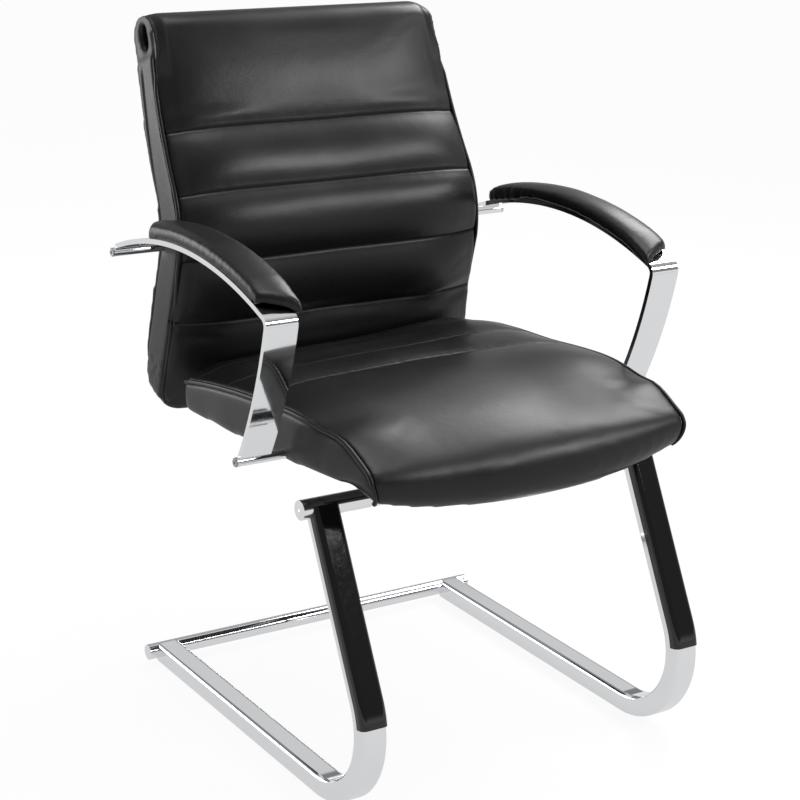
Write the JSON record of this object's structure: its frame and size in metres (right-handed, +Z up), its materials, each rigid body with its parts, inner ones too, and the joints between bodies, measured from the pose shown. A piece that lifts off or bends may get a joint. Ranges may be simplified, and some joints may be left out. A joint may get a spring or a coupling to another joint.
{
  "type": "cantilever chair",
  "caption": "Cantilever visitor chair with a bent flat-tube base, black padded seat and back with cross channels, and ribbon arms with padded rests.",
  "frame": {"origin": "on the floor, below the middle of the chair's bounding box", "axes": "+X to the chair's left as one sits in it, +Y to the rear, +Z up; X = 0 is the mirror plane"},
  "size_m": [0.629, 0.6848, 0.9004],
  "materials": {
    "chrome": "mirror plated",
    "gloss_black": "glossy",
    "black_leather": "soft sheen with a fine grain",
    "plywood": "black stained",
    "steel": "zinc plated",
    "nylon": "fine texture"
  },
  "bodies": {
    "root": {"arm_pad_base_left": "nylon", "arm_pad_base_right": "nylon", "arm_pad_left": "black_leather", "arm_pad_right": "black_leather", "arm_pad_screws": "steel", "arm_ribbon_left": "chrome", "arm_ribbon_right": "chrome", "back_board": "plywood", "back_bracket_left": "steel", "back_bracket_right": "steel", "back_cross_rod": "chrome", "back_cushion": "black_leather", "back_piping_left": "black_leather", "back_piping_right": "black_leather", "back_rear_panel": "black_leather", "back_side_band_left": "black_leather", "back_side_band_right": "black_leather", "back_top_roll": "black_leather", "bracket_screws": "steel", "carrier_bolts": "steel", "carrier_washers": "steel", "floor_glides": "nylon", "front_cross_tube": "chrome", "front_tube_caps": "chrome", "leg_cover_left": "gloss_black", "leg_cover_right": "gloss_black", "rear_floor_tube": "chrome", "rear_tube_caps": "chrome", "rod_end_screws": "steel", "rod_saddles": "steel", "saddle_screws": "steel", "seat_board": "plywood", "seat_carrier_left": "steel", "seat_carrier_right": "steel", "seat_cross_rod": "chrome", "seat_cushion": "black_leather", "seat_piping_left": "black_leather", "seat_piping_right": "black_leather", "seat_side_panel_left": "black_leather", "seat_side_panel_right": "black_leather", "seat_tee_nuts": "steel", "side_frame_left": "chrome", "side_frame_right": "chrome"}
  },
  "joints": []
}
